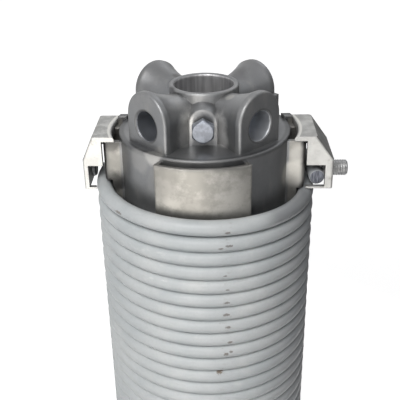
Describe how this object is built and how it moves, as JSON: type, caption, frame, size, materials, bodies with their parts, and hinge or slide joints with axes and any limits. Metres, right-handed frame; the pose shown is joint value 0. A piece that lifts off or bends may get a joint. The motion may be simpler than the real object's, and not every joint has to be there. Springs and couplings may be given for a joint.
{
  "type": "gate torsion spring with winding head",
  "caption": "Close-wound torsion spring for a gate or door shaft, with a cast winding head, bar sockets, clamp clips and a flanged fixed head.",
  "frame": {"origin": "centre of the fixed head's flange face, on which the part stands", "axes": "+Z along the spring's axis towards the winding head, -Y towards the front boss, +X towards the wire's free end"},
  "size_m": [0.152, 0.152, 0.3633],
  "materials": {
    "spring_paint": "satin blue-grey paint on steel wire",
    "head_casting": "dark grey die casting, semi-gloss",
    "clip_steel": "bright zinc plated sheet steel",
    "screw_steel": "blue-white zinc plated steel",
    "bush_plastic": "plain natural nylon"
  },
  "bodies": {
    "anchor": {"anchor_head": "head_casting", "shaft_bush": "bush_plastic", "anchor_clip_left": "clip_steel", "anchor_clip_right": "clip_steel", "anchor_clamp_screw_left": "screw_steel", "anchor_clamp_screw_right": "screw_steel", "torsion_spring": "spring_paint"},
    "winding": {"winding_head": "head_casting", "winding_set_screw_front": "screw_steel", "winding_set_screw_rear": "screw_steel", "winding_clip_left": "clip_steel", "winding_clip_right": "clip_steel", "winding_clamp_screw_left": "screw_steel", "winding_clamp_screw_right": "screw_steel"}
  },
  "joints": [
    {"name": "winding_turn", "type": "hinge", "parent": "anchor", "child": "winding", "pos_m": [0, 0, 0.29593], "axis": [0, 0, -1], "range_deg": [0, 810], "stiffness_Nm_per_rad": 2.76, "deforming": ["torsion_spring"]}
  ]
}
